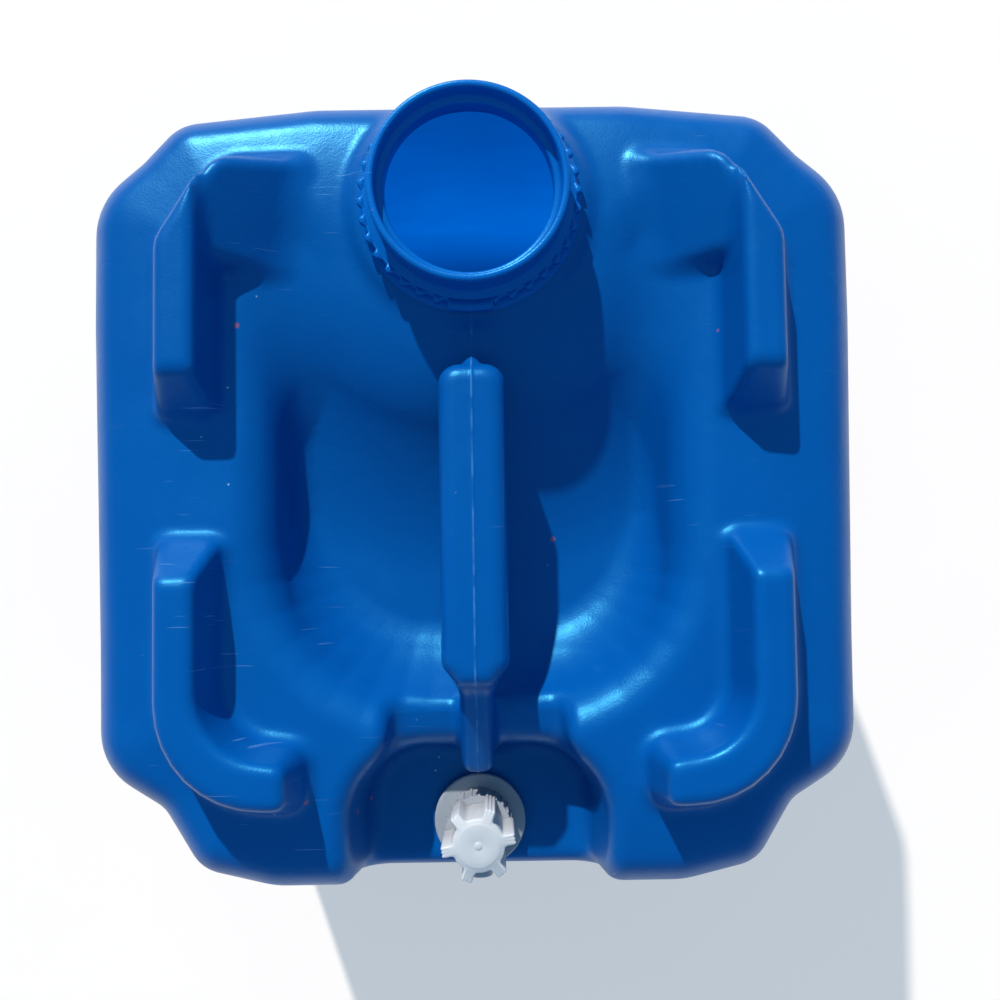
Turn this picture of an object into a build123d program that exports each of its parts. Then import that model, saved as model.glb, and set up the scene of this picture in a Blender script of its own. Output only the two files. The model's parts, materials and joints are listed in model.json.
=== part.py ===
"""Stackable water jerry can for 20 litres, with a wide filler neck, a hollow carrying
handle moulded across its top, and a quarter-turn dispensing tap.

Millimetres, +Z up. The can stands on its base at z = 0, centred on x = y = 0. The filler
neck is at the back (+Y) and the tap at the front (-Y); the can is laid on its front wall
to pour through the tap. Each function returns one physical piece, or one region of the can.
"""
import os
from math import atan2, cos, degrees, pi, sin, tan

from build123d import *

# ---- can body ---------------------------------------------------------------------------
WALL = 2.4                  # blow-moulded wall
DECK_Z = 270.0              # top deck, from which the ribs rise and the basin sinks
SHOULDER_R = 14.0           # rounding between deck and side walls
FOOT_R = 9.0                # rounding between side walls and base
HALF_W = 152.6
HALF_D = 156.0

# plan outline, right half, from the back centre line round to the front: x, y, radius
SIDE = [(62, HALF_D, 60), (118, 150.5, 20), (133, 134.5, 9), (HALF_W, 118, 31),
        (HALF_W, 66, 300), (150, -60, 300), (149.6, -109, 27), (124, -125, 12),
        (109.5, -149, 17), (80, -HALF_D, 36)]

# ---- stacking ribs, one of each kind on each side of the centre line --------------------
RIB_H = 26.0                # above the deck
RIB_DRAFT = 12.0
RIB_EDGE_R = 4.5            # outside only; the wall is thinner inside these corners
RIM_R = 5.5                 # outside only, around basin and pocket
BACK_RIB = [(122, 25, 7), (122, 93, 18), (99, 129, 16), (60, 130, 7), (60, 84, 7),
            (96.5, 84, 8), (96.5, 25, 7)]
FRONT_RIB = [(122, -17.5, 7), (122, -123.5, 40), (64, -123.5, 9), (64, -98, 9),
             (96.5, -93, 17), (96.5, -17.5, 7)]
RIB_LEG_RUN = 36.0          # length of the slope of the back ribs towards the centre
RIB_END_RUN = 17.0          # length of the ramp at the free end of each rib
SOCKET_DEPTH = 4.0          # seats in the base for the ribs of a can below
SOCKET_GAP = 1.5

# ---- basin under the handle, step in front of it, and pocket for the tap ----------------
BASIN_DEPTH = 36.0
BASIN_DRAFT = 12.0
BASIN = [(80, 110, 14), (80, -86, 62), (-80, -86, 62), (-80, 110, 14)]
APRON_R = (68, 112)         # cone round the neck, from the deck down to the basin floor
STEP_DEPTH = 5.0
STEP_TILT = 14.0            # the step falls towards the pocket
STEP = [(34, -62, 9), (34, -118, 9), (-34, -118, 9), (-34, -62, 9)]
POCKET_DEPTH = 42.0
POCKET_DRAFT = 8.0
POCKET = [(51, -99, 30), (51, -190, 14), (-51, -190, 14), (-51, -99, 30)]

# ---- recess in the base that clears the neck and the handle of a can below --------------
RECESS_DEPTH = 14.0
RECESS = [(78, 148, 40), (78, -86, 40), (-78, -86, 40), (-78, 148, 40)]

# ---- filler neck ------------------------------------------------------------------------
NECK_Y = 110.0
NECK_H = 30.0               # rim above the deck
NECK_R = 38.0
NECK_BORE_R = 32.0
NECK_BORE_Z = 13.5          # the bore widens into the collar below this height
COLLAR_R = 41.0
BELLY_R = 38.8
LIP_R = 34.5                # wider mouth above the sealing step
LIP_DEPTH = 8.0
TOWER_R = 46.0
TOWER_H = 4.0
RING_R = 43.2               # ratchet ring that locks the cap
RING_Z = 9.0
RING_H = 3.5
RATCHET_TEETH = 36
TOOTH_H = 2.0

# ---- handle -----------------------------------------------------------------------------
HANDLE_W = 26.0
STEM_W = 13.0
STEM_T = 16.0
HANDLE_TOP = 20.0           # above the deck
HANDLE_T = 23.0
HANDLE_BACK_Y = 46.0
HANDLE_FRONT_Y = -66.0
HANDLE_FOOT_Y = -108.0

# ---- dispensing tap ---------------------------------------------------------------------
TAP_Y = -135.5
FLOOR_Z = DECK_Z - POCKET_DEPTH
GASKET_T = 2.0
FLANGE_R = 18.7
FLANGE_T = 4.0
SHANK_R = 10.8
SHANK_L = 20.0              # below the pocket floor
OUTLET_R = 11.1             # hole through the can wall
BARREL_R = 12.8
BARREL_L = 15.5             # above the flange
BARREL_RIBS = 24
PLUG_R = 7.5
PLUG_FIT = 0.05             # running clearance of the plug in its barrel
PORT_R = 3.6
PORT_UP = 8.5               # port centre above the flange
SPOUT_R = 5.0
SPOUT_ROOT_R = 6.8
SPOUT_ROOT = 14.5           # reach of the thicker root from the tap axis
SPOUT_REACH = 20.0
SEAL_R = 0.9                # section radius of the plug's O-rings
KNOB_CORE_R = 10.0
KNOB_LUG_R = 13.8
KNOB_LUGS = 6
KNOB_LUG_W = 4.2
KNOB_L = 27.5
KNOB_GAP = 0.5
STEM_SQ = 6.0               # square drive between plug and knob
NUT_R = 15.5
NUT_T = 7.0


def rounded(corners):
    """Closed face through (x, y, radius) corners, each one rounded by an arc."""
    edges, ends = [], []
    count = len(corners)
    for i, (x, y, r) in enumerate(corners):
        point = Vector(x, y)
        to_prev = (Vector(*corners[i - 1][:2]) - point).normalized()
        to_next = (Vector(*corners[(i + 1) % count][:2]) - point).normalized()
        half = to_prev.get_angle(to_next) * pi / 360
        bisector = (to_prev + to_next).normalized()
        start, end = point + to_prev * (r / tan(half)), point + to_next * (r / tan(half))
        middle = point + bisector * (r / sin(half) - r)
        edges.append(ThreePointArc(start, middle, end).edge())
        ends.append((start, end))
    for i in range(count):
        edges.append(Line(ends[i - 1][1], ends[i][0]).edge())
    return Face(Wire(edges))


def mirrored(corners):
    """Whole outline from its right half."""
    return corners + [(-x, y, r) for x, y, r in reversed(corners)]


def shifted(corners, inset):
    """Outline moved inwards by inset, its corner radii following."""
    count = len(corners)
    area = sum(corners[i - 1][0] * corners[i][1] - corners[i][0] * corners[i - 1][1] for i in range(count))
    moved = []
    for i, (x, y, r) in enumerate(corners):
        point = Vector(x, y)
        to_prev = (Vector(*corners[i - 1][:2]) - point).normalized()
        to_next = (Vector(*corners[(i + 1) % count][:2]) - point).normalized()
        half = to_prev.get_angle(to_next) * pi / 360
        convex = 1 if (to_next.X * to_prev.Y - to_next.Y * to_prev.X) * area > 0 else -1
        corner = point + (to_prev + to_next).normalized() * (convex * inset / sin(half))
        moved.append((corner.X, corner.Y, max(r - convex * inset, 0.8)))
    return moved


def prism(corners, z0, z1, inset=0.0, inset_top=None):
    """Solid between two heights on a rounded outline, drafted when the top inset differs."""
    low = Pos(0, 0, z0) * rounded(shifted(corners, inset))
    if inset_top is None:
        return Part() + extrude(low, amount=z1 - z0, dir=(0, 0, 1))
    high = Pos(0, 0, z1) * rounded(shifted(corners, inset_top))
    return Part() + Solid.make_loft([low.outer_wire(), high.outer_wire()], ruled=True)


def edges_at(solid, z, tolerance=0.05):
    """Edges lying wholly in one level plane."""
    return [e for e in solid.edges()
            if abs(e.bounding_box().min.Z - z) < tolerance and abs(e.bounding_box().max.Z - z) < tolerance]


def block(skin):
    """Straight-sided body with rounded shoulders and feet."""
    body = prism(mirrored(SIDE), skin, DECK_Z - skin, skin)
    body = fillet(edges_at(body, DECK_Z - skin), SHOULDER_R - skin)
    return fillet(edges_at(body, skin), FOOT_R - skin)


def slope_cut(run, skin):
    """Everything above a slope that climbs from the origin to the rib height over a run in +Y."""
    angle = degrees(atan2(RIB_H, run))
    return Pos(0, skin, 0) * Rot(angle, 0, 0) * Pos(0, 0, 50) * Box(400, 400, 100)


def rib(corners, skin, ramp_y, turn):
    """One L-shaped stacking rib, drafted, with a ramp at its free end."""
    top = DECK_Z + RIB_H - skin
    lean = tan(RIB_DRAFT * pi / 180)
    body = prism(corners, DECK_Z - 20, DECK_Z, skin)
    body += prism(corners, DECK_Z, top, skin, skin + (top - DECK_Z) * lean)
    if not skin:
        body = fillet(edges_at(body, top), RIB_EDGE_R)
    return body - Pos(0, ramp_y, DECK_Z) * Rot(0, 0, turn) * slope_cut(RIB_END_RUN, skin)


def ribs(skin):
    """Four ribs that carry and locate a can stacked on top."""
    back = rib(BACK_RIB, skin, 25, 0)
    back -= Pos(BACK_RIB[3][0], 0, DECK_Z) * Rot(0, 0, -90) * slope_cut(RIB_LEG_RUN, skin)
    pair = back + rib(FRONT_RIB, skin, -17.5, 180)
    return pair + mirror(pair, Plane.YZ)


def sinking(corners, depth, skin, draft, floor_r):
    """Pocket tool sunk from above the deck, widening upwards, with a rounded floor."""
    floor, rim = DECK_Z - depth - skin, DECK_Z + 40
    lean = tan(draft * pi / 180)
    tool = prism(corners, floor, rim, (depth + skin) * lean - skin, -40 * lean - skin)
    return fillet(edges_at(tool, floor), floor_r + skin)


def apron(skin):
    """Cone falling from the deck round the neck to the basin floor."""
    top, foot = APRON_R
    slope = atan2(BASIN_DEPTH, foot - top)
    inset = skin * tan(slope / 2)
    cone = Cone(foot - inset + 10 / tan(slope), top - inset, BASIN_DEPTH + 10,
                align=(Align.CENTER, Align.CENTER, Align.MAX))
    return Pos(0, NECK_Y, DECK_Z - skin) * cone & block(skin)


def neck_tower(skin):
    """Round shoulder under the neck, standing in the back of the basin."""
    profile = rounded([(0, -BASIN_DEPTH - 10, 0.5), (TOWER_R + 5 - skin, -BASIN_DEPTH - 10, 0.5),
                       (TOWER_R - skin, TOWER_H - skin, 5), (0, TOWER_H - skin, 0.5)])
    tower = revolve(Plane.XZ * profile, Axis.Z)
    return Pos(0, NECK_Y, DECK_Z) * tower & block(skin)


def bar(start, end, width, height, skin):
    """Round-edged rectangular bar between two (y, z) points."""
    w, h, r = width / 2, height / 2, min(width, height) * 0.3
    section = rounded(shifted([(w, h, r), (-w, h, r), (-w, -h, r), (w, -h, r)], skin))
    run = Vector(0, end[0] - start[0], end[1] - start[1])
    plane = Plane(origin=(0, *start), x_dir=(1, 0, 0), z_dir=run.normalized())
    return Part() + extrude(plane * section, amount=run.length)


def handle(skin):
    """Hollow grip bridging the basin, pinched to a narrow stem at each end."""
    mid = HANDLE_TOP - HANDLE_T / 2
    wide, thin = HANDLE_W / 2, STEM_W / 2
    plan = [(thin - 2, HANDLE_BACK_Y, 3), (wide, HANDLE_BACK_Y - 4, 7), (wide, HANDLE_FRONT_Y - 2, 5),
            (thin, HANDLE_FRONT_Y - 10, 3)]
    grip = bar((HANDLE_BACK_Y + 2, mid), (HANDLE_FRONT_Y - 12, mid), HANDLE_W, HANDLE_T, skin)
    grip &= prism(mirrored(plan), -80, 80, skin)
    back = bar((HANDLE_BACK_Y - 8, mid - 2), (NECK_Y - TOWER_R + 6, -22), STEM_W, STEM_T, skin)
    front = bar((HANDLE_FRONT_Y + 4, mid), (HANDLE_FOOT_Y, -STEP_DEPTH - 13), STEM_W, STEM_T, skin)
    return Pos(0, 0, DECK_Z) * (grip + back + front)


def sockets(skin):
    """Shallow seats in the base for the four ribs of a can below."""
    lean = RIB_H * tan(RIB_DRAFT * pi / 180) - SOCKET_GAP - skin
    pair = [prism(corners, -1, SOCKET_DEPTH + skin, lean, lean + 1) for corners in (BACK_RIB, FRONT_RIB)]
    return pair[0] + pair[1] + mirror(pair[0] + pair[1], Plane.YZ)


def form(skin):
    """Solid bounded by the can's outer surface moved inwards by skin."""
    body = block(skin)
    body -= sinking(BASIN, BASIN_DEPTH, skin, BASIN_DRAFT, 16)
    tilt = Pos(0, STEP[0][1], DECK_Z) * Rot(STEP_TILT, 0, 0) * Pos(0, -STEP[0][1], -DECK_Z)
    body -= tilt * sinking(STEP, STEP_DEPTH, skin, 10, 4)
    body -= sinking(POCKET, POCKET_DEPTH, skin, POCKET_DRAFT, 6)
    body -= prism(RECESS, -1, RECESS_DEPTH + skin, -skin, 6)
    body -= sockets(skin)
    if not skin:
        body = fillet(edges_at(body, DECK_Z), RIM_R)
    return body + apron(skin) + neck_tower(skin) + ribs(skin) + handle(skin)


def neck():
    """Outside of the filler neck: wall, cap ratchet ring with its saw teeth, rounded rim."""
    profile = rounded([(NECK_BORE_R - 5, -4, 0.5), (NECK_R - 0.6, -4, 0.5), (NECK_R - 0.6, NECK_H - 5, 0.5),
                       (NECK_R, NECK_H - 4, 0.5), (NECK_R, NECK_H, 1.8), (NECK_BORE_R - 5, NECK_H, 1.0)])
    body = revolve(Plane.XZ * profile, Axis.Z)
    body += Pos(0, 0, -4) * Cylinder(COLLAR_R, RING_Z + 5, align=(Align.CENTER, Align.CENTER, Align.MIN))
    upright = (Align.CENTER, Align.CENTER, Align.MIN)
    ring = Pos(0, 0, RING_Z) * Cylinder(RING_R - TOOTH_H, RING_H, align=upright)
    pitch = 360 / RATCHET_TEETH
    tooth = make_face(Polyline((RING_R - TOOTH_H - 2, 0), (RING_R, 0),
                               ((RING_R - TOOTH_H) * cos(0.8 * pitch * pi / 180),
                                (RING_R - TOOTH_H) * sin(0.8 * pitch * pi / 180)),
                               (RING_R - TOOTH_H - 2, 0)))
    saw = Pos(0, 0, RING_Z) * extrude(tooth, amount=RING_H, dir=(0, 0, 1))
    teeth = [Rot(0, 0, i * pitch) * saw for i in range(RATCHET_TEETH)]
    tab = Pos(0, -RING_R, RING_Z) * Box(17, 5, RING_H, align=(Align.CENTER, Align.CENTER, Align.MIN))
    return Pos(0, NECK_Y, DECK_Z) * (body + ring + teeth + tab)


def neck_bore():
    """Mouth and bore of the neck, widening through the collar into the cavity."""
    step = NECK_H - LIP_DEPTH
    mouth = rounded([(0, step, 0.3), (NECK_BORE_R, step, 0.8), (LIP_R, step + 3, 0.8), (LIP_R, NECK_H + 5, 0.5),
                     (0, NECK_H + 5, 0.3)])
    bore = make_face(Polyline((0, -12), (BELLY_R, -12), (BELLY_R, RING_Z), (NECK_BORE_R, NECK_BORE_Z),
                              (NECK_BORE_R, NECK_H), (0, NECK_H), (0, -12)))
    space = revolve(Plane.XZ * mouth, Axis.Z) + revolve(Plane.XZ * bore, Axis.Z)
    return Pos(0, NECK_Y, DECK_Z) * space


def can_body():
    """The whole blow-moulded can: one hollow shell with neck, handle and ribs in its skin."""
    outside = form(0) + neck()
    shell = outside - form(WALL) - neck_bore()
    outlet = Pos(0, TAP_Y, FLOOR_Z) * Cylinder(OUTLET_R, 20)
    return shell - outlet


def at_tap(z):
    """Place a piece on the tap axis, at a height above the pocket floor."""
    return Pos(0, TAP_Y, FLOOR_Z + z)


def rod(radius, z0, z1):
    return Pos(0, 0, z0) * Cylinder(radius, z1 - z0, align=(Align.CENTER, Align.CENTER, Align.MIN))


def washer(outer, inner, z0, thickness):
    body = rod(outer, z0, z0 + thickness) - rod(inner, z0 - 1, z0 + thickness + 1)
    return body


def tap_body():
    """Flange, ribbed barrel with a short spout, and threaded shank, bored for the plug."""
    flange_top = GASKET_T + FLANGE_T
    barrel_top = flange_top + BARREL_L
    flange = fillet(rod(FLANGE_R, GASKET_T, flange_top).edges(), 0.9)
    body = flange + rod(BARREL_R, flange_top - 1, barrel_top) + rod(SHANK_R - 0.9, -SHANK_L, GASKET_T + 1)
    for i in range(BARREL_RIBS):
        angle = i * 360 / BARREL_RIBS
        if abs(angle - 270) > 20:
            body += Rot(0, 0, angle) * Pos(BARREL_R, 0, flange_top + BARREL_L / 2) * Box(1.2, 1.0, BARREL_L - 1)
    for i in range(int(SHANK_L / 2.5)):
        thread = Cone(SHANK_R - 0.9, SHANK_R, 0.8, align=(Align.CENTER, Align.CENTER, Align.MIN))
        thread += Pos(0, 0, 0.8) * Cone(SHANK_R, SHANK_R - 0.9, 0.8, align=(Align.CENTER, Align.CENTER, Align.MIN))
        body += Pos(0, 0, -SHANK_L + 0.4 + i * 2.5) * thread
    port_z = flange_top + PORT_UP
    spout = Pos(0, -SPOUT_REACH / 2, port_z) * Rot(90, 0, 0) * Cylinder(SPOUT_R, SPOUT_REACH)
    outlet = Pos(0, -SPOUT_REACH / 2 - 2, port_z) * Rot(90, 0, 0) * Cylinder(PORT_R, SPOUT_REACH + 4)
    body += fillet(spout.edges().sort_by(Axis.Y)[0], 0.8)
    body += Pos(0, -SPOUT_ROOT / 2, port_z) * Rot(90, 0, 0) * Cylinder(SPOUT_ROOT_R, SPOUT_ROOT)
    body -= outlet + rod(PLUG_R + PLUG_FIT, -SHANK_L - 1, barrel_top + 1)
    return at_tap(0) * body


SEAL_HEIGHTS = (GASKET_T + FLANGE_T + 1.2, GASKET_T + FLANGE_T + BARREL_L - 1.9)
PLUG_TOP = GASKET_T + FLANGE_T + BARREL_L


def valve_plug():
    """Hollow turning plug: water enters its rear end and leaves by the side port."""
    rear = -SHANK_L + 2
    plug = rod(PLUG_R, rear, PLUG_TOP) - rod(PLUG_R - 2.2, rear - 1, PLUG_TOP - 4)
    plug -= Pos(6, 0, GASKET_T + FLANGE_T + PORT_UP) * Rot(0, 90, 0) * Cylinder(PORT_R - 0.4, 12)
    plug += Pos(0, 0, PLUG_TOP + KNOB_L * 0.3) * Box(STEM_SQ, STEM_SQ, KNOB_L * 0.6)
    for z in SEAL_HEIGHTS:
        plug -= washer(PLUG_R + 1, PLUG_R - 2 * SEAL_R, z - SEAL_R, 2 * SEAL_R)
    return at_tap(0) * plug


def plug_seal(z):
    """O-ring in a groove of the plug."""
    return at_tap(z) * Torus(PLUG_R - SEAL_R + PLUG_FIT, SEAL_R - 0.02)


def tap_knob():
    """Turning knob: round core with six finely ridged lugs, pressed on the plug's square stem."""
    base = PLUG_TOP + KNOB_GAP
    core = rod(KNOB_CORE_R, base, base + KNOB_L)
    reach = KNOB_LUG_R - KNOB_CORE_R + 3
    for i in range(KNOB_LUGS):
        lug = Pos(KNOB_LUG_R - reach / 2, 0, base + KNOB_L / 2) * Box(reach, KNOB_LUG_W, KNOB_L)
        for side in (-1, 0, 1):
            lug += Pos(KNOB_LUG_R, side * 1.4, base + KNOB_L / 2) * Box(0.7, 0.7, KNOB_L)
        core += Rot(0, 0, 10 + i * 360 / KNOB_LUGS) * lug
    core = chamfer(core.edges().filter_by(GeomType.CIRCLE).group_by(Axis.Z)[-1], 0.6)
    core += rod(1.6, base + KNOB_L - 1, base + KNOB_L + 0.3)
    return at_tap(0) * (core - Pos(0, 0, base + KNOB_L * 0.3) * Box(STEM_SQ, STEM_SQ, KNOB_L * 0.6 + 1.0))


def back_nut():
    """Ribbed ring nut on the shank, inside the can."""
    top = -WALL - 1.5
    nut = rod(NUT_R, top - NUT_T, top) - rod(SHANK_R + 0.02, top - NUT_T - 1, top + 1)
    for i in range(12):
        nut -= Rot(0, 0, i * 30) * Pos(NUT_R, 0, top - NUT_T / 2) * Cylinder(1.6, NUT_T + 2)
    return at_tap(0) * nut


def parts():
    yield "can_body", can_body()
    yield "tap_gasket", at_tap(0) * washer(FLANGE_R - 1.5, OUTLET_R, 0, GASKET_T)
    yield "tap_inner_washer", at_tap(0) * washer(NUT_R, OUTLET_R, -WALL - 1.5, 1.5)
    yield "tap_back_nut", back_nut()
    yield "tap_body", tap_body()
    yield "valve_plug", valve_plug()
    yield "plug_seal_rear", plug_seal(SEAL_HEIGHTS[0])
    yield "plug_seal_front", plug_seal(SEAL_HEIGHTS[1])
    yield "tap_knob", tap_knob()


os.makedirs("parts", exist_ok=True)
for name, piece in parts():
    export_step(piece, f"parts/{name}.step")
    print(name, round(piece.volume), "mm3", len(piece.solids()), "solid", piece.is_valid)
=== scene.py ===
"""Look of the stackable water jerry can: one smooth blow-moulded shell, its neck and its tap.

Shape code works in millimetres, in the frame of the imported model, and scales to metres when a
mesh is made. The shell is a distance field blended from the can's regions and meshed by a
surface net, so that every edge is as round as on a blown can.
"""
import json
import math

import bpy
import numpy as np
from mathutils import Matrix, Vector


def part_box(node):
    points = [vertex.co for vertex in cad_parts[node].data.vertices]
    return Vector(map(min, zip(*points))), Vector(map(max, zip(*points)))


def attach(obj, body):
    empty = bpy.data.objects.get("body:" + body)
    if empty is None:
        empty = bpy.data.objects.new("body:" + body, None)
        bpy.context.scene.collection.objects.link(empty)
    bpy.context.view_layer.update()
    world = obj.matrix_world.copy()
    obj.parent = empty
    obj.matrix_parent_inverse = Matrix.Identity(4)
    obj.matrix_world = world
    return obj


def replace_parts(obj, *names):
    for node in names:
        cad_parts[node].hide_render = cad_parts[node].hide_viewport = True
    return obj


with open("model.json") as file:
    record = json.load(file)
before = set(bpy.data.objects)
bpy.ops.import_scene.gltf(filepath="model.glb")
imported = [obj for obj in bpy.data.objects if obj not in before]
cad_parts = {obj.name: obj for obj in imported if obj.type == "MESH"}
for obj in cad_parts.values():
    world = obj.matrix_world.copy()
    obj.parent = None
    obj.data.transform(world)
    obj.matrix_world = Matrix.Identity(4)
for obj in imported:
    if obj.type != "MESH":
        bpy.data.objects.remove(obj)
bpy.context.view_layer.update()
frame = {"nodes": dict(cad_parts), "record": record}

MM = 0.001

# ---- driving dimensions, read from the frame ------------------------------------------------
mounts = {m["name"]: m for m in frame["record"]["mounts"]}
body_high = np.array(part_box("can_body")[1]) / MM
knob_low, knob_high = (np.array(corner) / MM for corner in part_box("tap_knob"))
gasket_low, gasket_high = (np.array(corner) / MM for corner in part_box("tap_gasket"))
HALF_W, HALF_D = body_high[0], body_high[1]
RIM_Z = body_high[2]
NECK_Y = mounts["filler_neck_bore"]["pos_m"][1] / MM
BORE_R = mounts["filler_neck_bore"]["dims"]["r_mm"]
RIB_TOP = mounts["rib_top"]["pos_m"][2] / MM
TAP_Y = (gasket_low[1] + gasket_high[1]) / 2
FLOOR_Z = gasket_low[2]

NECK_H = 30.0
DECK_Z = RIM_Z - NECK_H
WALL = 3.9                      # more than a grid cell's diagonal, so that the shell has no holes
SKIN = 0.3                      # the shell stays this far inside the CAD shape, for the seam
SEAM_W = 0.45                   # half width of the parting line

# ---- plan outlines of the right half, from back to front: x, y, corner radius ---------------
SIDE = [(62, HALF_D, 60), (118, 150.5, 20), (133, 134.5, 9), (HALF_W, 118, 31),
        (HALF_W, 66, 300), (150, -60, 300), (149.6, -109, 27), (124, -125, 12),
        (109.5, -149, 17), (80, -HALF_D, 36)]
BACK_RIB = [(122, 25, 7), (122, 93, 18), (99, 129, 16), (60, 130, 7), (60, 84, 7),
            (96.5, 84, 4), (96.5, 25, 7)]
BACK_LONG = [(122, 25, 7), (122, 93, 18), (103, 123, 6), (96.5, 119, 6), (96.5, 25, 7)]
BACK_SHORT = [(116, 84, 6), (116, 97, 6), (99, 129, 16), (60, 130, 7), (60, 84, 7)]
FRONT_RIB = [(122, -17.5, 7), (122, -123.5, 44), (64, -123.5, 9), (64, -98, 9),
             (96.5, -93, 20), (96.5, -17.5, 7)]
BASIN = [(80, 110, 14), (80, -86, 62), (-80, -86, 62), (-80, 110, 14)]
STEP = [(34, -62, 9), (34, -118, 9), (-34, -118, 9), (-34, -62, 9)]
POCKET = [(51, -99, 30), (51, -190, 14), (-51, -190, 14), (-51, -99, 30)]
RECESS = [(78, 148, 40), (78, -86, 40), (-78, -86, 40), (-78, 148, 40)]

RIB_DRAFT, RIB_END_RUN, RIB_LEG_RUN, RIB_LEG_TURN = 12.0, 17.0, 34.0, 22.0
BASIN_DEPTH, BASIN_DRAFT, APRON_R = 36.0, 12.0, (68, 112)
STEP_DEPTH, STEP_TILT, POCKET_DRAFT = 5.0, 14.0, 8.0
RECESS_DEPTH, SOCKET_DEPTH = 14.0, 4.0
SHOULDER_R, CROWN_FALL, CROWN_W = 13.0, 6.5, 44.0
TOWER_R, TOWER_H, TOWER_ROOT, TOWER_FLARE = 46.0, 4.0, 45.0, 0.12
RIB_ROOT = 14.0                 # ribs reach this far below the deck, to blend with it
HANDLE_TOP, HANDLE_T, HANDLE_W = 20.0, 23.0, 26.0
HANDLE_BACK, HANDLE_FRONT, HANDLE_FOOT = 46.0, -66.0, -108.0
STEM_W, STEM_T, STEM_BACK_T, STEM_ROOT = 13.0, 16.0, 12.0, 32.0
PINCH_R = 3.6
NECK_R, LIP_R, LIP_DEPTH = 37.7, 34.8, 8.0
BORE_Z, BELLY_R, COLLAR_R = 13.5, 38.8, 41.0
RING_R, RING_Z, RING_H, TEETH, TOOTH_H = 43.0, 9.0, 3.5, 36, 1.8
TAB_REACH, TAB_HALF_ANGLE = 1.6, 0.21
LUGS, LUG_W, CORE_R, LUG_R = 6, 4.2, 10.0, 13.8

# ---- light and camera ------------------------------------------------------------------------
SUN_PLACE = (-0.42, 1.25, 1.0)  # direction towards the sun
CAMERA_PLACE, CAMERA_TURN = (8.5, -30.3, 701.2), (3.25, -0.16, -0.88)
FOCAL_RATIO = 1.1185            # focal length over the width of the sensor


# ============================ meshing =========================================================
def mesh_piece(name, vertices, faces, materials, body):
    """Object from vertices in millimetres, riding on a CAD body."""
    mesh = bpy.data.meshes.new(name)
    flat = np.asarray(vertices, dtype=np.float32) * MM
    mesh.from_pydata(flat.tolist(), [], [list(map(int, f)) for f in faces])
    mesh.validate()
    mesh.update()
    mesh.shade_smooth()
    for material in materials:
        mesh.materials.append(material)
    piece = bpy.data.objects.new(name, mesh)
    bpy.context.scene.collection.objects.link(piece)
    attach(piece, body)
    return piece


def outline(corners, per_arc=9):
    """Points round a closed outline whose (x, y, radius) corners are rounded by tangent arcs."""
    points = []
    count = len(corners)
    for i, (x, y, r) in enumerate(corners):
        corner = Vector((x, y))
        to_prev = (Vector(corners[i - 1][:2]) - corner).normalized()
        to_next = (Vector(corners[(i + 1) % count][:2]) - corner).normalized()
        half = to_prev.angle(to_next) / 2
        centre = corner + (to_prev + to_next).normalized() * (r / math.sin(half))
        start = corner + to_prev * (r / math.tan(half)) - centre
        end = corner + to_next * (r / math.tan(half)) - centre
        turn = start.angle_signed(end)
        for k in range(per_arc):
            spin = -turn * k / (per_arc - 1)
            c, s = math.cos(spin), math.sin(spin)
            points.append((centre.x + start.x * c - start.y * s, centre.y + start.x * s + start.y * c))
    return np.array(points)


def mirrored(corners):
    """Whole outline from its right half."""
    return corners + [(-x, y, r) for x, y, r in reversed(corners)]


def plan_distance(x, y, corners):
    """Signed distance in plan to a rounded outline, negative inside."""
    points = outline(corners)
    best = np.full(np.broadcast(x, y).shape, 1e9)
    inside = np.zeros(best.shape, bool)
    for (ax, ay), (bx, by) in zip(points, np.roll(points, -1, axis=0)):
        dx, dy = bx - ax, by - ay
        along = np.clip(((x - ax) * dx + (y - ay) * dy) / max(dx * dx + dy * dy, 1e-9), 0, 1)
        best = np.minimum(best, (x - ax - along * dx) ** 2 + (y - ay - along * dy) ** 2)
        crosses = (ay > y) != (by > y)
        inside ^= crosses & (x < ax + dx * (y - ay) / (dy if abs(dy) > 1e-9 else 1e-9))
    return np.where(inside, -1, 1) * np.sqrt(best)


def union(a, b, r):
    """Join of two fields with a fillet of radius r."""
    return np.maximum(r, np.minimum(a, b)) - np.hypot(np.maximum(r - a, 0), np.maximum(r - b, 0))


def common(a, b, r):
    """Overlap of two fields with its edge rounded to radius r."""
    return np.minimum(-r, np.maximum(a, b)) + np.hypot(np.maximum(r + a, 0), np.maximum(r + b, 0))


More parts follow.
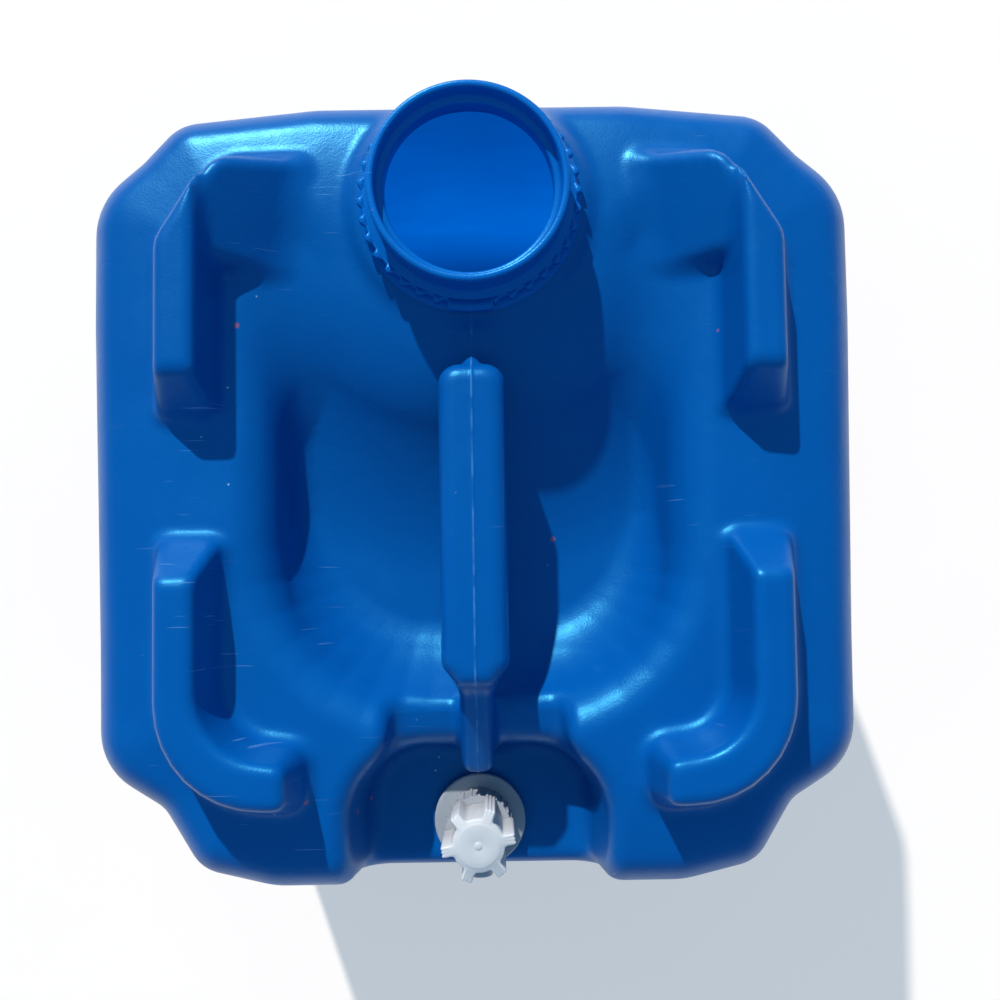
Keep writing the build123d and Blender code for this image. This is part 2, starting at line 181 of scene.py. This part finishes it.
def surface_net(field, xs, ys, zs):
    """Quad mesh of the zero level of a field on a rectilinear grid, and the cells it uses."""
    inside = field < 0
    shape = tuple(n - 1 for n in field.shape)
    total, hits = np.zeros(shape + (3,)), np.zeros(shape)
    quads = []
    axes = (xs, ys, zs)
    for axis in range(3):
        low = [slice(None)] * 3
        high = [slice(None)] * 3
        low[axis], high[axis] = slice(None, -1), slice(1, None)
        low, high = tuple(low), tuple(high)
        i, j, k = np.nonzero(inside[low] != inside[high])
        at = [i, j, k]
        a, b = field[low][i, j, k], field[high][i, j, k]
        where = np.stack([axes[d][at[d]] for d in range(3)], 1).astype(float)
        where[:, axis] += a / (a - b) * (axes[axis][at[axis] + 1] - axes[axis][at[axis]])
        u, v = (axis + 1) % 3, (axis + 2) % 3
        ok = (at[u] > 0) & (at[v] > 0) & (at[u] < shape[u]) & (at[v] < shape[v])
        corners = []
        for du, dv in ((0, 0), (1, 0), (1, 1), (0, 1)):
            cell = [c[ok] for c in at]
            cell[u] = cell[u] - 1 + du
            cell[v] = cell[v] - 1 + dv
            np.add.at(total, tuple(cell), where[ok])
            np.add.at(hits, tuple(cell), 1)
            corners.append(np.ravel_multi_index(cell, shape))
        quad = np.stack(corners, 1)
        flip = ~inside[low][i, j, k][ok]
        quad[flip] = quad[flip][:, ::-1]
        quads.append(quad)
    used = hits.ravel() > 0
    number = np.cumsum(used) - 1
    vertices = total.reshape(-1, 3)[used] / hits.ravel()[used][:, None]
    return vertices, number[np.concatenate(quads)], used


def ranges(*spans):
    """Grid lines over consecutive spans (start, end, step)."""
    lines = [np.linspace(a, b, max(2, round((b - a) / step) + 1))[:-1] for a, b, step in spans]
    return np.concatenate(lines + [[spans[-1][1]]])


def turned(profile, count, centre, wobble=None):
    """Lathe mesh from a closed (radius, z) loop; wobble gives each angle its own added radius."""
    vertices, faces = [], []
    size = len(profile)
    for i in range(count):
        angle = 2 * math.pi * i / count
        for k, (r, z) in enumerate(profile):
            r += wobble(k, angle) if wobble else 0
            vertices.append((centre[0] + r * math.cos(angle), centre[1] + r * math.sin(angle), z))
        for k in range(size):
            a, b = i * size, (i + 1) % count * size
            faces.append((a + k, a + (k + 1) % size, b + (k + 1) % size, b + k))
    return vertices, [face[::-1] for face in faces]


# ============================ the can as a distance field =====================================
def drafted(plan, z, z0, degrees):
    """Plan outline whose walls lean, narrowing upwards for a positive angle."""
    lean = math.radians(degrees)
    return (plan + (z - z0) * math.tan(lean)) * math.cos(lean)


def slope(run, z, rise, length):
    """Space below a plane that climbs by rise over length along run, from the deck."""
    angle = math.atan2(rise, length)
    return (z - DECK_Z) * math.cos(angle) - run * math.sin(angle)


def rib_field(x, y, z, corners, end, facing):
    """One stacking rib with a ramp at its free end."""
    body = drafted(plan_distance(x, y, corners), z, DECK_Z, RIB_DRAFT)
    body = common(body, z - RIB_TOP + SKIN, 3.5)
    body = common(body, slope(facing * (y - end), z, RIB_TOP - DECK_Z, RIB_END_RUN), 3)
    return common(body, DECK_Z - RIB_ROOT - z, 2)


def sunk_field(x, y, z, corners, depth, draft, r):
    """Space of a pocket that opens upwards."""
    walls = drafted(plan_distance(x, y, corners), z, DECK_Z, -draft)
    return common(walls, DECK_Z - depth - z, r)


def box_field(x, y, z, half, r):
    """Round-edged box about the origin."""
    q = [np.abs(c) - h + r for c, h in zip((x, y, z), half)]
    outside = np.sqrt(sum(np.maximum(c, 0) ** 2 for c in q))
    return outside + np.minimum(np.maximum(np.maximum(q[0], q[1]), q[2]), 0) - r


def bar_field(x, y, z, start, end, width, height):
    """Round-edged rectangular bar between two (y, z) points."""
    (y0, z0), (y1, z1) = start, end
    length = math.hypot(y1 - y0, z1 - z0)
    ty, tz = (y1 - y0) / length, (z1 - z0) / length
    dy, dz = y - (y0 + y1) / 2, z - (z0 + z1) / 2
    half = (width / 2, length / 2 + 2, height / 2)
    return box_field(x, dy * ty + dz * tz, dz * ty - dy * tz, half, min(width, height) * 0.36)


def handle_field(x, y, z):
    """Grip with narrow stems at both ends and a pinch mark at the back."""
    middle = DECK_Z + HANDLE_TOP - HANDLE_T / 2
    wide = HANDLE_W / 2
    plan = plan_distance(x, y, mirrored([(wide, HANDLE_BACK - 1, 8), (wide, HANDLE_FRONT - 2, 6),
                                         (STEM_W / 2, HANDLE_FRONT - 10, 2)]))
    grip = common(plan + SKIN, np.abs(z - middle) - HANDLE_T / 2 + SKIN, 6)
    back = bar_field(x, y, z, (HANDLE_BACK - 11, middle - 4), (HANDLE_BACK - 3, DECK_Z - STEM_ROOT),
                     STEM_W, STEM_BACK_T)
    front = bar_field(x, y, z, (HANDLE_FRONT + 4, middle), (HANDLE_FOOT, DECK_Z - STEP_DEPTH - 14),
                      STEM_W, STEM_T)
    pinch = np.sqrt(x ** 2 + (y - HANDLE_BACK + 1.6) ** 2 + (z - middle - 2) ** 2) - PINCH_R
    return union(union(union(grip, back, 3), front, 5), pinch, 1.5)


def can_field(x, y, z):
    """The can's outer skin."""
    across = np.abs(x)
    side = plan_distance(x, y, mirrored(SIDE)) + SKIN
    fall = CROWN_FALL * np.maximum(side / CROWN_W + 1, 0) ** 2
    body = common(side, z - DECK_Z + fall, SHOULDER_R)
    body = common(body, -z, 9)
    floor_r = 10 + 20 * np.clip((-10 - y) / 55, 0, 1)
    basin = sunk_field(x, y, z, BASIN, BASIN_DEPTH, BASIN_DRAFT, floor_r)
    away = np.sqrt(x ** 2 + (y - NECK_Y) ** 2)
    basin = common(basin, -slope(APRON_R[0] - away, z, BASIN_DEPTH, APRON_R[1] - APRON_R[0]), 22)
    body = common(body, -basin, 15)
    tilt = math.radians(STEP_TILT)
    dy, dz = y - STEP[0][1], z - DECK_Z
    step = sunk_field(x, STEP[0][1] + dy * math.cos(tilt) + dz * math.sin(tilt),
                      DECK_Z + dz * math.cos(tilt) - dy * math.sin(tilt), STEP, STEP_DEPTH, 10, 5)
    body = common(body, -step, 5)
    body = common(body, -sunk_field(x, y, z, POCKET, DECK_Z - FLOOR_Z, POCKET_DRAFT, 7), 7)
    body = common(body, -common(plan_distance(x, y, RECESS), z - RECESS_DEPTH, 6), 4)
    lean = (RIB_TOP - DECK_Z) * math.tan(math.radians(RIB_DRAFT)) - 1.5
    for rib in (BACK_RIB, FRONT_RIB):
        body = common(body, -common(plan_distance(across, y, rib) + lean, z - SOCKET_DEPTH, 2), 1.5)
    tower = common(away - TOWER_R - (DECK_Z - z) * TOWER_FLARE, z - DECK_Z - TOWER_H, 3)
    tower = common(common(tower, side, 5), DECK_Z - TOWER_ROOT - z, 2)
    body = union(body, tower, 7)
    turn = math.radians(RIB_LEG_TURN)
    leg = rib_field(across, y, z, BACK_SHORT, BACK_RIB[0][1], 1)
    run = (across - 80) * math.cos(turn) + (y - 88) * math.sin(turn)
    leg = common(leg, slope(run, z, RIB_TOP - DECK_Z, RIB_LEG_RUN), 5)
    back = union(rib_field(across, y, z, BACK_LONG, BACK_RIB[0][1], 1), leg, 3)
    body = union(body, back, 5)
    body = union(body, rib_field(across, y, z, FRONT_RIB, FRONT_RIB[0][1], -1), 5)
    body = np.maximum(union(body, handle_field(x, y, z), 5), side)
    return np.maximum(body - SKIN * np.exp(-(x / SEAM_W) ** 2), -z)


def build_shell(outer_material, inner_material):
    """The hollow can without its neck wall, opened under the neck and at the tap."""
    pitch = 1.5
    xs = ranges((-HALF_W - 2.4, -1.2, pitch), (-1.2, 1.2, 0.3), (1.2, HALF_W + 2.4, pitch))
    ys = ranges((-HALF_D - 2.4, HALF_D + 2.4, pitch))
    zs = ranges((-2.2, 20, 1.6), (20, DECK_Z - 60, 26), (DECK_Z - 60, RIB_TOP + 3.1, pitch))
    x, y, z = xs[:, None, None], ys[None, :, None], zs[None, None, :]
    outer = can_field(x, y, z)
    shell = np.maximum(outer, -(outer + WALL))
    away = np.sqrt(x ** 2 + (y - NECK_Y) ** 2)
    shell = np.maximum(shell, -np.maximum(away - BELLY_R - 1, DECK_Z - 25 - z))
    tap = np.sqrt(x ** 2 + (y - TAP_Y) ** 2)
    shell = np.maximum(shell, -np.maximum(tap - 11.1, np.abs(z - FLOOR_Z) - 12))
    vertices, faces, used = surface_net(shell, xs, ys, zs)
    depth = (outer[:-1, :-1, :-1] + outer[1:, 1:, 1:]) / 2
    inner = (depth < -WALL / 2).ravel()[used]
    piece = mesh_piece("can_shell", vertices, faces, [outer_material, inner_material], "can")
    piece.data.polygons.foreach_set("material_index", inner[faces].all(axis=1).astype(np.int32))
    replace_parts(piece, "can_body")


def build_neck(material):
    """Neck wall with a rolled rim and a wider mouth, flaring out into the collar it stands on."""
    top, step = RIM_Z, RIM_Z - LIP_DEPTH
    low, turn = DECK_Z - 3, DECK_Z + BORE_Z
    bore = [(BELLY_R, low), (BELLY_R, DECK_Z + RING_Z - 2), (BELLY_R - 1.2, DECK_Z + RING_Z + 0.6),
            (BORE_R + 2.6, turn - 1.9), (BORE_R + 0.8, turn - 0.8), (BORE_R, turn + 0.6),
            (BORE_R, step - 1.0), (BORE_R + 0.2, step - 0.3)]
    mouth = [(BORE_R + 0.8, step), (LIP_R - 1.0, step + 0.3), (LIP_R - 0.3, step + 0.9),
             (LIP_R, step + 2.0), (LIP_R, top - 1.1), (LIP_R + 0.2, top - 0.4), (LIP_R + 0.7, top)]
    outside = [(NECK_R - 0.9, top), (NECK_R - 0.3, top - 0.3), (NECK_R, top - 1.0), (NECK_R, top - 4.0),
               (NECK_R - 0.2, top - 4.8), (NECK_R - 0.7, top - 5.2), (NECK_R - 0.8, top - 6.0),
               (NECK_R - 0.8, turn + 1.5), (NECK_R - 0.4, turn + 0.4), (NECK_R + 0.6, turn - 0.4)]
    collar = [(COLLAR_R - 0.8, turn - 0.9), (COLLAR_R - 0.3, turn - 1.3), (COLLAR_R, turn - 2.0),
              (COLLAR_R, DECK_Z + 7.2), (COLLAR_R + 0.4, DECK_Z + 6.2), (COLLAR_R + 1.3, DECK_Z + 5.2),
              (COLLAR_R + 2.2, DECK_Z + 4.6), (COLLAR_R + 3.2, DECK_Z + 3.6),
              (COLLAR_R + 2.0, DECK_Z + 2.0), (COLLAR_R, DECK_Z), (COLLAR_R, low)]
    vertices, faces = turned(bore + mouth + outside + collar, 160, (0, NECK_Y))
    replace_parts(mesh_piece("can_neck", vertices, faces, [material], "can"), "can_body")
    build_ratchet(material)


def build_ratchet(material):
    """Ring of saw teeth that locks the cap, with the release tab at the front."""
    root = RING_R - TOOTH_H
    low, high = DECK_Z + RING_Z, DECK_Z + RING_Z + RING_H
    profile = [(NECK_R + 2, low), (root - 0.3, low), (root, low + 0.4), (root, high - 0.4),
               (root - 0.3, high), (NECK_R + 2, high)]

    def saw(k, angle):
        share = (angle * TEETH / (2 * math.pi)) % 1
        beyond = abs(math.atan2(math.sin(angle + math.pi / 2), math.cos(angle + math.pi / 2)))
        reach = TOOTH_H * min(share / 0.1, (0.62 - share) / 0.3, 1) if share > 0 else 0
        if beyond < TAB_HALF_ANGLE:
            reach = (TOOTH_H + TAB_REACH) * min(1, (TAB_HALF_ANGLE - beyond) / 0.02)
        return max(reach, 0) if 0 < k < 5 else 0

    vertices, faces = turned(profile, TEETH * 16, (0, NECK_Y), saw)
    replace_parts(mesh_piece("can_ratchet", vertices, faces, [material], "can"), "can_body")


# ============================ the tap's knob ==================================================
def knob_outline():
    """Points round the knob: six lugs, each with three fine ridges across its end."""
    points = []
    half = LUG_W / 2
    inner = math.asin((half + 0.5) / CORE_R)
    span = 2 * math.pi / LUGS - 2 * inner
    for i in range(LUGS):
        turn = math.radians(10 + i * 360 / LUGS)
        c, s = math.cos(turn), math.sin(turn)
        lug = [(CORE_R + 0.15, -half - 0.15), (CORE_R + 0.8, -half), (LUG_R - 0.6, -half),
               (LUG_R - 0.15, -half + 0.15)]
        for k in range(3):
            centre = (k - 1) * 1.4
            lug += [(LUG_R, centre - 0.45), (LUG_R + 0.22, centre - 0.28), (LUG_R + 0.3, centre),
                    (LUG_R + 0.22, centre + 0.28), (LUG_R, centre + 0.45)]
        lug += [(LUG_R - 0.15, half - 0.15), (LUG_R - 0.6, half), (CORE_R + 0.8, half),
                (CORE_R + 0.15, half + 0.15)]
        points += [(a * c - b * s, a * s + b * c) for a, b in lug]
        for k in range(8):
            angle = turn + inner + span * k / 7
            points.append((CORE_R * math.cos(angle), CORE_R * math.sin(angle)))
    return np.array(points)


def build_knob(material):
    """Knob with softened edges, a slightly raised core on top and a gate mark."""
    ring = knob_outline()
    low, high = knob_low[2], knob_high[2] - 0.3
    tangent = np.roll(ring, -1, axis=0) - np.roll(ring, 1, axis=0)
    outward = np.stack([tangent[:, 1], -tangent[:, 0]], 1) / np.linalg.norm(tangent, axis=1)[:, None]
    direction = ring / np.linalg.norm(ring, axis=1)[:, None]
    loops = [(ring - outward * 0.25, low), (ring, low + 0.3), (ring, high - 1.1),
             (ring - outward * 0.15, high - 0.7), (ring - outward * 0.45, high - 0.45)]
    crown = [(CORE_R - 1.4, high - 0.4), (CORE_R - 1.7, high - 0.2), (CORE_R - 2.2, high - 0.05),
             (CORE_R - 4, high)]
    gate = [(2.1, high), (1.7, high - 0.1), (1.35, high + 0.05), (1.1, high + 0.22), (0.5, high + 0.28)]
    loops += [(direction * r, z) for r, z in crown + gate]
    count = len(ring)
    vertices = [(p[0], p[1] + TAP_Y, z) for loop, z in loops for p in loop]
    faces = []
    for k in range(len(loops) - 1):
        a, b = k * count, (k + 1) * count
        faces += [(a + i, a + (i + 1) % count, b + (i + 1) % count, b + i) for i in range(count)]
    faces.append(list(range(count))[::-1])
    faces.append([(len(loops) - 1) * count + i for i in range(count)])
    piece = mesh_piece("tap_knob_look", vertices, faces, [material], "tap_rotor")
    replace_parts(piece, "tap_knob")


# ============================ materials =======================================================
def node(tree, kind, inputs=None, **settings):
    """Shader node with its settings and inputs, linked where an input is another socket."""
    made = tree.nodes.new("ShaderNode" + kind)
    for key, value in settings.items():
        setattr(made, key, value)
    for key, value in (inputs or {}).items():
        if isinstance(value, bpy.types.NodeSocket):
            tree.links.new(value, made.inputs[key])
        else:
            made.inputs[key].default_value = value
    return made


def remap(tree, value, low, high, to_low, to_high):
    """Value carried from one range to another and kept inside it."""
    made = node(tree, "MapRange", {"Value": value, "From Min": low, "From Max": high, "To Min": to_low,
                                   "To Max": to_high}, clamp=True)
    return made.outputs["Result"]


def arithmetic(tree, operation, a, b):
    return node(tree, "Math", {0: a, 1: b}, operation=operation).outputs[0]


def blend(tree, factor, a, b):
    made = node(tree, "Mix", {0: factor, 6: a, 7: b}, data_type="RGBA")
    return made.outputs[2]


def noise(tree, coords, scale, detail=3.0, roughness=0.55, distortion=0.0):
    made = node(tree, "TexNoise", {"Vector": coords, "Scale": scale, "Detail": detail,
                                   "Roughness": roughness, "Distortion": distortion})
    return made.outputs["Fac"]


def scratches(tree, coords, turn, density):
    """Fine straight marks in one direction, as bright lines on black."""
    mapped = node(tree, "Mapping", {"Vector": coords, "Rotation": (0.0, 0.0, turn),
                                    "Scale": (34.0, density, 34.0)})
    lines = noise(tree, mapped.outputs["Vector"], 1.0, 1.0, 0.4, 0.15)
    return remap(tree, lines, 0.75, 0.79, 0.0, 1.0)


def start_material(name):
    material = bpy.data.materials.new(name)
    material.use_nodes = True
    tree = material.node_tree
    coords = node(tree, "TexCoord").outputs["Object"]
    return material, tree, tree.nodes["Principled BSDF"], coords


def blue_plastic(name, painted_light_gain=1.0, painted_glow=0.0, seam_highlight=0.35):
    """Blown blue polyethylene: fine grain, uneven gloss, scratches, dust and stray specks.

    The parting line is painted paler: a painted highlight along its ridge. The lightening factor paints
    brightness into the base colour for a thin wall that daylight passes through, and the emission paints
    the daylight passing through the wall, brighter low down.
    """
    material, tree, shader, coords = start_material(name)
    broad = noise(tree, coords, 7.0, 4.0)
    middle = noise(tree, coords, 38.0, 5.0, 0.65)
    grain = noise(tree, coords, 1150.0, 2.0, 0.5)
    ripple = noise(tree, coords, 120.0, 2.0, 0.5)
    marks = arithmetic(tree, "MAXIMUM", scratches(tree, coords, 0.35, 900.0),
                       scratches(tree, coords, -1.05, 1100.0))
    marks = arithmetic(tree, "MULTIPLY", marks, remap(tree, broad, 0.5, 0.62, 0.0, 1.0))
    dust = node(tree, "TexVoronoi", {"Vector": coords, "Scale": 95.0}, feature="F1").outputs["Distance"]
    dust = remap(tree, dust, 0.03, 0.05, 1.0, 0.0)
    dust = arithmetic(tree, "MULTIPLY", dust, remap(tree, middle, 0.55, 0.6, 0.0, 1.0))
    red = node(tree, "TexVoronoi", {"Vector": coords, "Scale": 17.0}, feature="F1").outputs["Distance"]
    red = remap(tree, red, 0.016, 0.024, 1.0, 0.0)
    # painted light: a lightening factor above one gives a lighter copy of this blue
    color = blend(tree, remap(tree, broad, 0.35, 0.65, 0.0, 1.0), (0.0, 0.082 * painted_light_gain, 0.325 * painted_light_gain, 1),
                  (0.0, 0.094 * painted_light_gain, 0.355 * painted_light_gain, 1))
    color = blend(tree, remap(tree, middle, 0.56, 0.75, 0.0, 0.16), color, (0.001, 0.135, 0.43, 1))
    color = blend(tree, arithmetic(tree, "MULTIPLY", marks, 0.35), color, (0.25, 0.45, 0.8, 1))
    color = blend(tree, arithmetic(tree, "MULTIPLY", dust, 0.6), color, (0.6, 0.7, 0.8, 1))
    color = blend(tree, arithmetic(tree, "MULTIPLY", red, 0.7), color, (0.45, 0.1, 0.12, 1))
    # painted highlight: the parting line is painted as a paler line along its ridge, broken up by the
    # ripple
    place = node(tree, "SeparateXYZ", {0: coords}).outputs["X"]
    line = remap(tree, arithmetic(tree, "ABSOLUTE", place, 0.0), 0.0002, 0.0005, seam_highlight, 0.0)
    line = arithmetic(tree, "MULTIPLY", line, remap(tree, ripple, 0.4, 0.6, 0.1, 1.0))
    color = blend(tree, line, color, (0.12, 0.36, 0.72, 1))
    tree.links.new(color, shader.inputs["Base Color"])
    rough = arithmetic(tree, "ADD", remap(tree, middle, 0.3, 0.7, 0.30, 0.42),
                       arithmetic(tree, "MULTIPLY", marks, 0.2))
    rough = arithmetic(tree, "ADD", rough, arithmetic(tree, "MULTIPLY", dust, 0.3))
    tree.links.new(rough, shader.inputs["Roughness"])
    fine = node(tree, "Bump", {"Height": grain, "Strength": 0.16, "Distance": 0.0004})
    wavy = node(tree, "Bump", {"Height": ripple, "Strength": 0.10, "Distance": 0.0012,
                               "Normal": fine.outputs["Normal"]})
    cut = node(tree, "Bump", {"Height": marks, "Strength": 0.25, "Distance": 0.0002,
                              "Normal": wavy.outputs["Normal"]}, invert=True)
    tree.links.new(cut.outputs["Normal"], shader.inputs["Normal"])
    shader.inputs["Specular IOR Level"].default_value = 0.6
    shader.inputs["Specular Tint"].default_value = (0.12, 0.75, 1.0, 1)
    # painted glow: emission that stands in for daylight through the wall, stronger low down and fainter
    # near the top
    if painted_glow:
        height = node(tree, "SeparateXYZ", {0: coords}).outputs["Z"]
        level = arithmetic(tree, "MULTIPLY", remap(tree, height, 0.0, 0.10, painted_glow * 0.4, painted_glow * 1.1),
                           remap(tree, height, 0.15, 0.25, 1.0, 0.7))
        level = arithmetic(tree, "MULTIPLY", level, remap(tree, broad, 0.3, 0.7, 0.75, 1.25))
        tree.links.new(level, shader.inputs["Emission Strength"])
        shader.inputs["Emission Color"].default_value = (0.0, 0.16, 0.66, 1)
    return material


def natural_plastic(name, tint, rough):
    """Uncoloured moulded plastic: faint cloudiness, fine grain, handling marks."""
    material, tree, shader, coords = start_material(name)
    cloud = noise(tree, coords, 90.0, 4.0, 0.6)
    grain = noise(tree, coords, 1600.0, 2.0)
    marks = scratches(tree, coords, 0.7, 1500.0)
    color = blend(tree, remap(tree, cloud, 0.3, 0.7, 0.0, 1.0), (*[c * 0.93 for c in tint], 1), (*tint, 1))
    color = blend(tree, arithmetic(tree, "MULTIPLY", marks, 0.25), color, (0.6, 0.63, 0.66, 1))
    tree.links.new(color, shader.inputs["Base Color"])
    tree.links.new(remap(tree, cloud, 0.3, 0.7, rough - 0.06, rough + 0.08), shader.inputs["Roughness"])
    bump = node(tree, "Bump", {"Height": grain, "Strength": 0.12, "Distance": 0.0003})
    tree.links.new(bump.outputs["Normal"], shader.inputs["Normal"])
    shader.inputs["Subsurface Weight"].default_value = 0.25
    shader.inputs["Subsurface Radius"].default_value = (0.004, 0.004, 0.0045)
    shader.inputs["Subsurface Scale"].default_value = 1.0
    return material


def black_rubber():
    """Matt black seal rubber with a faint bloom."""
    material, tree, shader, coords = start_material("seal_rubber")
    cloud = noise(tree, coords, 300.0, 4.0)
    color = blend(tree, cloud, (0.018, 0.018, 0.019, 1), (0.05, 0.05, 0.052, 1))
    tree.links.new(color, shader.inputs["Base Color"])
    tree.links.new(remap(tree, cloud, 0.3, 0.7, 0.65, 0.85), shader.inputs["Roughness"])
    bump = node(tree, "Bump", {"Height": noise(tree, coords, 2500.0), "Strength": 0.2, "Distance": 0.0002})
    tree.links.new(bump.outputs["Normal"], shader.inputs["Normal"])
    return material


def dress_nodes(materials):
    """Give the CAD pieces that stay in view their materials."""
    for name, material in materials.items():
        frame["nodes"][name].data.materials.clear()
        frame["nodes"][name].data.materials.append(material)


# ============================ stage, light and camera =========================================
def build_stage():
    """Plain pale floor."""
    material, tree, shader, coords = start_material("floor")
    tone = blend(tree, noise(tree, coords, 6.0), (0.63, 0.54, 0.46, 1), (0.66, 0.57, 0.49, 1))
    tree.links.new(tone, shader.inputs["Base Color"])
    shader.inputs["Roughness"].default_value = 0.85
    shader.inputs["Emission Color"].default_value = (1, 1, 1, 1)
    shader.inputs["Emission Strength"].default_value = 0.42
    mesh = bpy.data.meshes.new("floor")
    mesh.from_pydata([(-3, -3, 0), (3, -3, 0), (3, 3, 0), (-3, 3, 0)], [], [(0, 1, 2, 3)])
    mesh.materials.append(material)
    floor = bpy.data.objects.new("floor", mesh)
    bpy.context.scene.collection.objects.link(floor)


def build_light():
    """Low sun from behind the can and an even blue sky."""
    sun = bpy.data.objects.new("key", bpy.data.lights.new("key", "SUN"))
    sun.data.energy = 3.8
    sun.data.angle = math.radians(1.2)
    sun.rotation_euler = Vector(SUN_PLACE).to_track_quat("Z", "Y").to_euler()
    bpy.context.scene.collection.objects.link(sun)
    world = bpy.data.worlds.new("studio")
    world.use_nodes = True
    world.node_tree.nodes["Background"].inputs["Color"].default_value = (0.32, 0.62, 1, 1)
    world.node_tree.nodes["Background"].inputs["Strength"].default_value = 0.5
    bpy.context.scene.world = world
    bpy.context.scene.view_settings.view_transform = "Standard"


def build_camera():
    """Close view straight down onto the deck, over its front half."""
    data = bpy.data.cameras.new("camera")
    camera = bpy.data.objects.new("camera", data)
    camera.location = [c * MM for c in CAMERA_PLACE]
    camera.rotation_euler = [math.radians(angle) for angle in CAMERA_TURN]
    data.sensor_width = 36
    data.lens = data.sensor_width * FOCAL_RATIO
    data.clip_start = 0.01
    bpy.context.scene.collection.objects.link(camera)
    bpy.context.scene.camera = camera


blue = blue_plastic("blue_hdpe")
# the neck gets a lighter copy of the blue: painted light shining through its thin wall
neck_blue_painted_light = blue_plastic("blue_hdpe_neck_painted_light", painted_light_gain=1.35, seam_highlight=0.1)
white = natural_plastic("natural_plastic", (0.66, 0.65, 0.63), 0.38)
# a darker copy of the natural plastic for the tap body: painted shade
flange_painted_shade = natural_plastic("natural_flange_painted_shade", (0.36, 0.38, 0.40), 0.42)
rubber = black_rubber()
# the inside of the shell carries a painted glow of daylight through the wall
build_shell(blue, blue_plastic("blue_hdpe_inside_painted_glow", painted_glow=0.52, seam_highlight=0.0))
build_neck(neck_blue_painted_light)
build_knob(white)
dress_nodes({"tap_body": flange_painted_shade, "valve_plug": white, "tap_back_nut": white, "tap_gasket": rubber,
             "tap_inner_washer": rubber, "plug_seal_rear": rubber, "plug_seal_front": rubber})
build_stage()
build_light()
build_camera()
